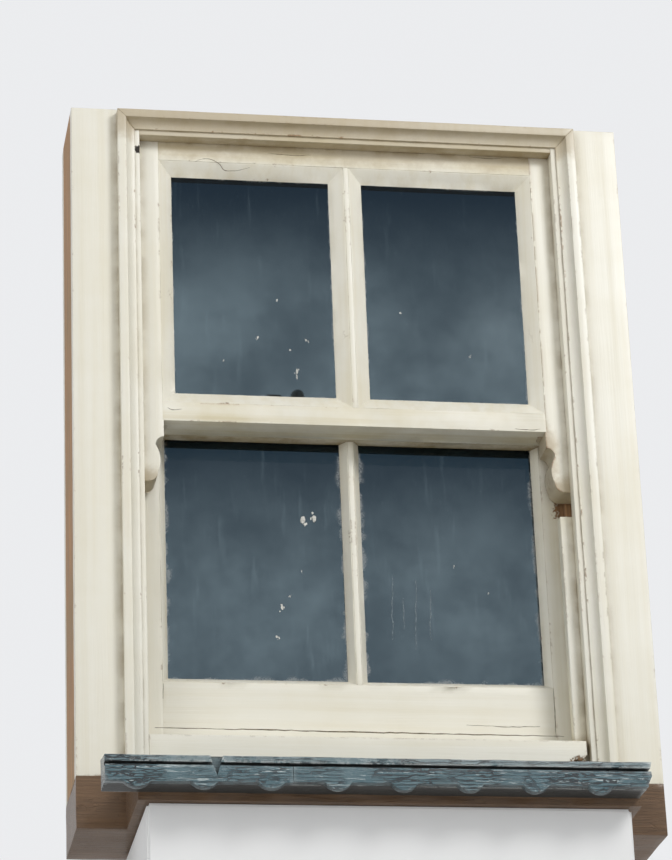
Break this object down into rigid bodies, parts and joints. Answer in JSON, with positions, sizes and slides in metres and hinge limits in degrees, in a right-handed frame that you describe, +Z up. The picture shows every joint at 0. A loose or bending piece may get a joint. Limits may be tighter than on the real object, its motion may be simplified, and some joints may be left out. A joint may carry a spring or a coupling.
{
  "type": "sash window",
  "caption": "Box sash window with barred sliding sashes, shaped horns, axle pulleys, cords and weights in its frame, over a projecting sill with a scalloped edge.",
  "frame": {"origin": "middle of the opening on the flat underside of the sub sill, in line with the front face of the outside linings", "axes": "+X across the window to the right as seen from outside, +Y into the room, +Z up"},
  "size_m": [0.654, 0.2715, 0.878],
  "materials": {
    "ivory_paint": "gloss oil paint over softwood, yellowed and worn",
    "blue_paint": "thick gloss paint, cracked",
    "bare_timber": "sawn softwood",
    "glass": "thin drawn glass",
    "putty": "painted linseed putty",
    "cotton_cord": "waxed braided cotton",
    "cast_iron": "as cast, dull",
    "pulley_iron": "cast, painted over at the face plate",
    "brass": "dull brass",
    "ironmongery": "brass painted over in ivory"
  },
  "bodies": {
    "frame": {"back_lining_left": "bare_timber", "back_lining_right": "bare_timber", "brick_mould": "ivory_paint", "cord_bends": "cotton_cord", "head_board": "bare_timber", "inside_lining_head": "ivory_paint", "inside_lining_left": "ivory_paint", "inside_lining_right": "ivory_paint", "outside_lining_head": "ivory_paint", "outside_lining_left": "ivory_paint", "outside_lining_right": "ivory_paint", "parting_beads": "ivory_paint", "parting_slips": "bare_timber", "pocket_piece_left": "ivory_paint", "pocket_piece_right": "ivory_paint", "pulley_cases": "pulley_iron", "pulley_stile_left": "ivory_paint", "pulley_stile_right": "ivory_paint", "scalloped_apron_long": "blue_paint", "scalloped_apron_short": "blue_paint", "staff_bead_head": "ivory_paint", "staff_bead_left": "ivory_paint", "staff_bead_right": "ivory_paint", "staff_bead_sill": "ivory_paint", "stop_batten": "ivory_paint", "sub_sill": "blue_paint", "timber_sill": "ivory_paint"},
    "upper_sash": {"fastener_keep": "ironmongery", "upper_glazing_bar": "ivory_paint", "upper_meeting_rail": "ivory_paint", "upper_panes": "glass", "upper_putty": "putty", "upper_sash_cords": "cotton_cord", "upper_stile_left": "ivory_paint", "upper_stile_right": "ivory_paint", "upper_top_rail": "ivory_paint"},
    "lower_sash": {"fastener_base": "ironmongery", "lower_bottom_rail": "ivory_paint", "lower_glazing_bar": "ivory_paint", "lower_meeting_rail": "ivory_paint", "lower_panes": "glass", "lower_putty": "putty", "lower_sash_cords": "cotton_cord", "lower_stile_left": "ivory_paint", "lower_stile_right": "ivory_paint", "sash_lifts": "ironmongery"},
    "fastener_lever": {"fastener_lever": "ironmongery"},
    "upper_weight_left": {"upper_weight_left": "cast_iron", "upper_weight_cord_left": "cotton_cord"},
    "upper_pulley_wheel_left": {"upper_pulley_wheel_left": "brass"},
    "upper_weight_right": {"upper_weight_right": "cast_iron", "upper_weight_cord_right": "cotton_cord"},
    "upper_pulley_wheel_right": {"upper_pulley_wheel_right": "brass"},
    "lower_weight_left": {"lower_weight_left": "cast_iron", "lower_weight_cord_left": "cotton_cord"},
    "lower_pulley_wheel_left": {"lower_pulley_wheel_left": "brass"},
    "lower_weight_right": {"lower_weight_right": "cast_iron", "lower_weight_cord_right": "cotton_cord"},
    "lower_pulley_wheel_right": {"lower_pulley_wheel_right": "brass"}
  },
  "joints": [
    {"name": "upper_sash_slide", "type": "slide", "parent": "frame", "child": "upper_sash", "axis": [0, 0, 1], "range_m": [-0.03, 0], "deforming": ["upper_sash_cords"]},
    {"name": "lower_sash_slide", "type": "slide", "parent": "frame", "child": "lower_sash", "axis": [0, 0, 1], "range_m": [0, 0.25], "deforming": ["lower_sash_cords"]},
    {"name": "fastener_turn", "type": "hinge", "parent": "lower_sash", "child": "fastener_lever", "pos_m": [-0.092, 0.0775, 0.528], "axis": [0, 0, 1], "range_deg": [0, 90]},
    {"name": "upper_weight_left_slide", "type": "slide", "parent": "frame", "child": "upper_weight_left", "axis": [0, 0, 1], "range_m": [0, 0.03], "deforming": ["upper_weight_cord_left"]},
    {"name": "upper_pulley_wheel_left_turn", "type": "hinge", "parent": "frame", "child": "upper_pulley_wheel_left", "pos_m": [-0.276, 0.0345, 0.79], "axis": [0, 1, 0], "range_deg": [0, 78.63]},
    {"name": "upper_weight_right_slide", "type": "slide", "parent": "frame", "child": "upper_weight_right", "axis": [0, 0, 1], "range_m": [0, 0.03], "deforming": ["upper_weight_cord_right"]},
    {"name": "upper_pulley_wheel_right_turn", "type": "hinge", "parent": "frame", "child": "upper_pulley_wheel_right", "pos_m": [0.276, 0.0345, 0.79], "axis": [0, 1, 0], "range_deg": [-78.63, 0]},
    {"name": "lower_weight_left_slide", "type": "slide", "parent": "frame", "child": "lower_weight_left", "axis": [0, 0, 1], "range_m": [-0.25, 0], "deforming": ["lower_weight_cord_left"]},
    {"name": "lower_pulley_wheel_left_turn", "type": "hinge", "parent": "frame", "child": "lower_pulley_wheel_left", "pos_m": [-0.276, 0.0795, 0.79], "axis": [0, 1, 0], "range_deg": [-651.59, 0]},
    {"name": "lower_weight_right_slide", "type": "slide", "parent": "frame", "child": "lower_weight_right", "axis": [0, 0, 1], "range_m": [-0.25, 0], "deforming": ["lower_weight_cord_right"]},
    {"name": "lower_pulley_wheel_right_turn", "type": "hinge", "parent": "frame", "child": "lower_pulley_wheel_right", "pos_m": [0.276, 0.0795, 0.79], "axis": [0, 1, 0], "range_deg": [0, 651.59]}
  ],
  "couplings": [
    {"joint": "upper_weight_left_slide", "follows": "upper_sash_slide", "ratio": -1},
    {"joint": "upper_pulley_wheel_left_turn", "follows": "upper_sash_slide", "rad_per_m": -45.455},
    {"joint": "upper_weight_right_slide", "follows": "upper_sash_slide", "ratio": -1},
    {"joint": "upper_pulley_wheel_right_turn", "follows": "upper_sash_slide", "rad_per_m": 45.455},
    {"joint": "lower_weight_left_slide", "follows": "lower_sash_slide", "ratio": -1},
    {"joint": "lower_pulley_wheel_left_turn", "follows": "lower_sash_slide", "rad_per_m": -45.455},
    {"joint": "lower_weight_right_slide", "follows": "lower_sash_slide", "ratio": -1},
    {"joint": "lower_pulley_wheel_right_turn", "follows": "lower_sash_slide", "rad_per_m": 45.455}
  ]
}
